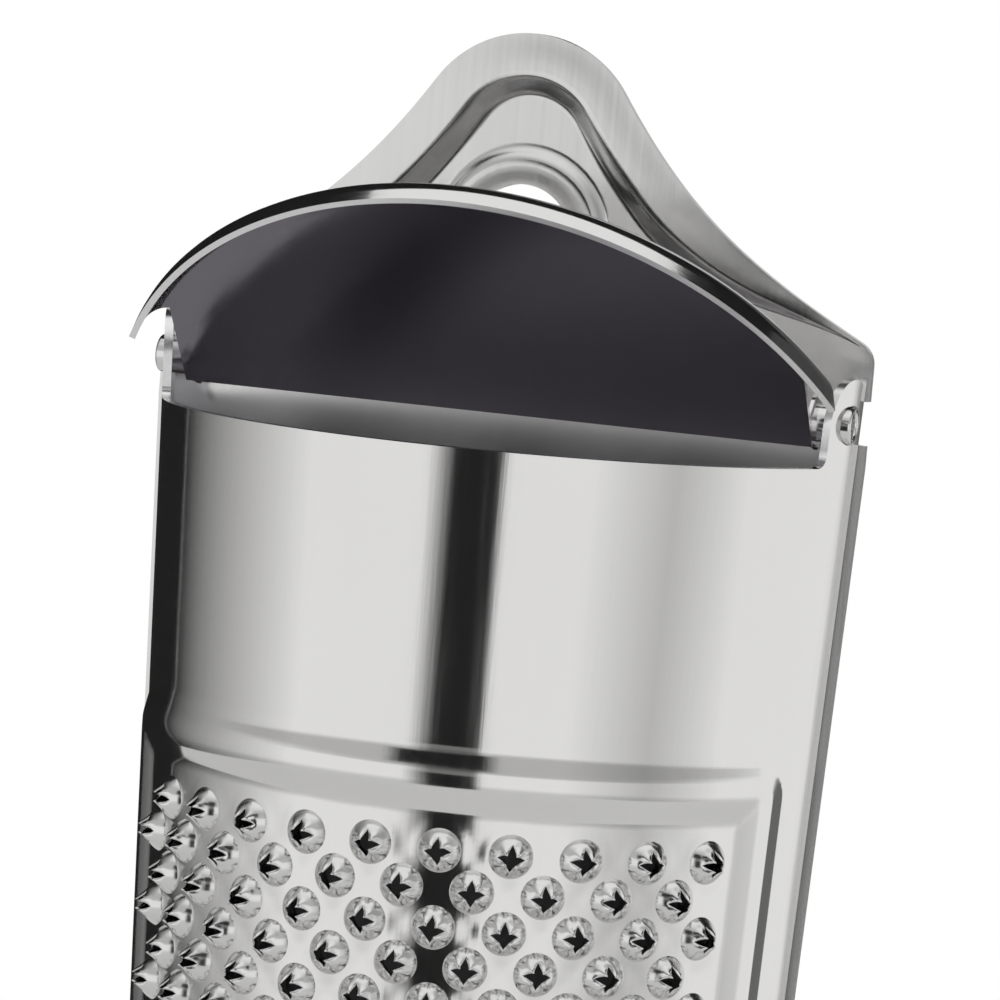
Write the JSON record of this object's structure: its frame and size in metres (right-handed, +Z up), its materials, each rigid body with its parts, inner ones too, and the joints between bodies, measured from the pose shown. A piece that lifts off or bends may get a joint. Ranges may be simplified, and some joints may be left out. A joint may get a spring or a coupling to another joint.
{
  "type": "nutmeg grater",
  "caption": "Stainless steel nutmeg grater: tapered half-round toothed shell, flat back plate with a bell-shaped hanger, and a store at the top under a hinged lid.",
  "frame": {"origin": "middle of the back plate's bottom edge", "axes": "+Z up along the grater to the hanger, +Y out of the back, the toothed front faces -Y, +X to the right seen from the front"},
  "size_m": [0.0506, 0.0214, 0.1572],
  "materials": {
    "shell_steel": "satin polished stainless sheet",
    "plate_steel": "polished stainless sheet",
    "lid_steel": "mirror polished stainless sheet",
    "rivet_steel": "bright steel"
  },
  "bodies": {
    "body": {"grater_shell": "shell_steel", "grating_teeth": "shell_steel", "back_plate": "plate_steel", "compartment_floor": "plate_steel"},
    "lid_body": {"lid": "lid_steel", "hinge_rivet_left": "rivet_steel", "hinge_rivet_right": "rivet_steel"}
  },
  "joints": [
    {"name": "lid_hinge", "type": "hinge", "parent": "body", "child": "lid_body", "pos_m": [0, -0.002, 0.1329], "axis": [-1, 0, 0], "range_deg": [-48, 46]}
  ]
}
